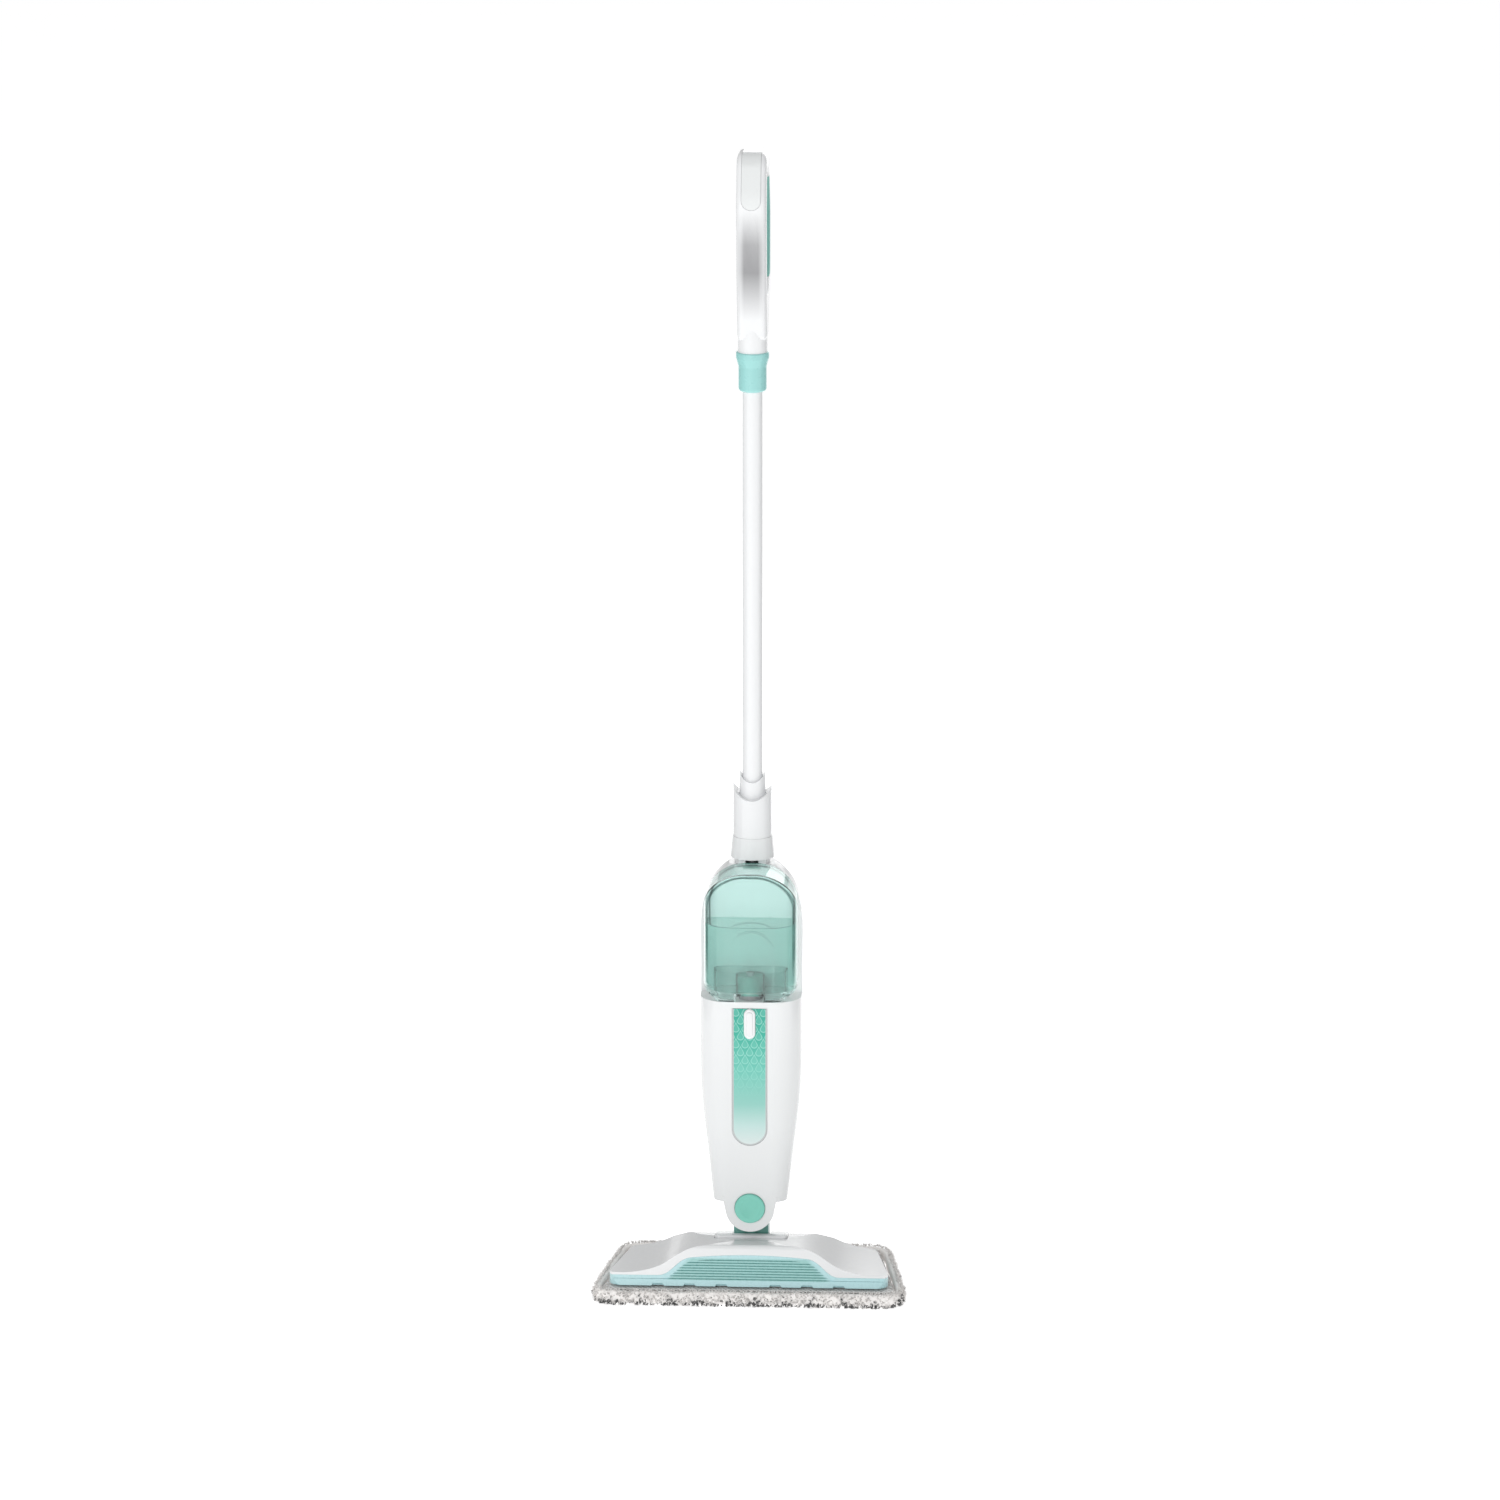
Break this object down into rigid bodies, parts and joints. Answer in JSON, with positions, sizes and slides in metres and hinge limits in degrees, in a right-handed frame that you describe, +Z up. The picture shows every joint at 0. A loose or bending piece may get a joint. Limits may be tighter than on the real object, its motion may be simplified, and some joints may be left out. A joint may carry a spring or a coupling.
{
  "type": "steam mop",
  "caption": "Upright steam mop with a hinged trapezoid head, microfibre pad, clear water tank, slim body, sliding pole and loop handle.",
  "frame": {"origin": "on the floor under the middle of the cleaning pad", "axes": "+Z up along the pole, front faces -Y, X across the head"},
  "size_m": [0.326, 0.182, 1.196],
  "materials": {
    "microfibre": "looped microfibre pile, cream with charcoal tips",
    "pad_mesh": "open knitted mesh",
    "hook_fastener": "hook fastener tape",
    "pale_aqua_plastic": "smooth moulded",
    "white_plastic": "glossy moulded",
    "white_trim": "satin moulded",
    "steel": "plated",
    "grey_plastic": "moulded",
    "teal_plastic": "moulded",
    "teal_button": "satin moulded",
    "printed_strip": "printed gradient under clear coat",
    "cast_metal": "as cast",
    "ceramic_white": "unglazed",
    "silicone": "smooth",
    "circuit_board": "solder mask",
    "grey_rubber": "matte",
    "clear_aqua_plastic": "clear moulded",
    "painted_tube": "gloss powder coat",
    "teal_grip": "soft touch",
    "light_aqua_cuff": "moulded"
  },
  "bodies": {
    "mop_head": {"pad_sole": "microfibre", "pad_top_mesh": "pad_mesh", "pad_border": "microfibre", "pad_hook_strips": "hook_fastener", "head_base": "pale_aqua_plastic", "ribbed_front_panel": "pale_aqua_plastic", "head_top_cover": "white_plastic", "ankle_cradle": "white_plastic", "pitch_pin": "steel", "steam_manifold": "grey_plastic", "steam_elbow": "grey_plastic", "head_screws": "steel"},
    "ankle": {"ankle_yoke": "teal_plastic", "pitch_washers": "grey_plastic"},
    "body": {"front_housing": "white_plastic", "rear_housing": "white_plastic", "housing_screws": "steel", "roll_pin": "steel", "release_spring": "steel", "light_pipe": "white_plastic", "decor_strip": "printed_strip", "boiler": "cast_metal", "boiler_terminals": "steel", "thermostat": "steel", "thermal_fuse": "ceramic_white", "steam_hose": "silicone", "check_valve": "grey_plastic", "water_hoses": "silicone", "pump_cylinder": "grey_plastic", "pump_spring": "steel", "tank_receptacle": "grey_plastic", "receptacle_seal": "silicone", "inlet_filter": "grey_plastic", "indicator_board": "circuit_board", "terminal_block": "ceramic_white", "cord_gland": "grey_rubber", "lower_cord_hook": "white_plastic", "neck_collar": "white_plastic", "pole_bushing": "grey_plastic", "tank_catch": "teal_plastic"},
    "release_button": {"release_button": "teal_button"},
    "tank": {"tank_shell": "clear_aqua_plastic"},
    "tank_cap": {"tank_cap": "teal_plastic", "valve_spring": "steel"},
    "valve_poppet": {"valve_poppet": "grey_plastic"},
    "pole": {"pole_tube": "painted_tube", "inner_sleeve": "white_plastic", "pump_rod": "grey_plastic", "handle_shell": "white_plastic", "grip_insert": "teal_grip", "handle_front_trim": "white_trim", "handle_cuff": "light_aqua_cuff", "hook_pin": "steel"},
    "upper_cord_hook": {"upper_cord_hook": "white_plastic"}
  },
  "joints": [
    {"name": "head_recline", "type": "hinge", "parent": "mop_head", "child": "ankle", "pos_m": [0, 0, 0.04], "axis": [-1, 0, 0], "range_deg": [0, 65]},
    {"name": "body_roll", "type": "hinge", "parent": "ankle", "child": "body", "pos_m": [0, 0, 0.093], "axis": [0, 1, 0], "range_deg": [-45, 45]},
    {"name": "button_press", "type": "slide", "parent": "body", "child": "release_button", "axis": [0, 1, 0], "range_m": [0, 0.003], "stiffness_N_per_m": 600, "deforming": ["release_spring"]},
    {"name": "tank_tilt", "type": "hinge", "parent": "body", "child": "tank", "pos_m": [0, -0.048, 0.318], "axis": [1, 0, 0], "range_deg": [0, 25]},
    {"name": "cap_turn", "type": "hinge", "parent": "tank", "child": "tank_cap", "pos_m": [0, -0.028, 0.324], "axis": [0, 0, 1], "range_deg": [0, 90]},
    {"name": "valve_lift", "type": "slide", "parent": "tank_cap", "child": "valve_poppet", "axis": [0, 0, 1], "range_m": [0, 0.004], "stiffness_N_per_m": 150, "deforming": ["valve_spring"]},
    {"name": "pump_stroke", "type": "slide", "parent": "body", "child": "pole", "axis": [0, 0, -1], "range_m": [0, 0.012], "stiffness_N_per_m": 1200, "springref_m": -0.008, "deforming": ["pump_spring"]},
    {"name": "cord_hook_turn", "type": "hinge", "parent": "pole", "child": "upper_cord_hook", "pos_m": [0, 0.03, 0.968], "axis": [0, 1, 0], "range_deg": [0, 180]}
  ]
}
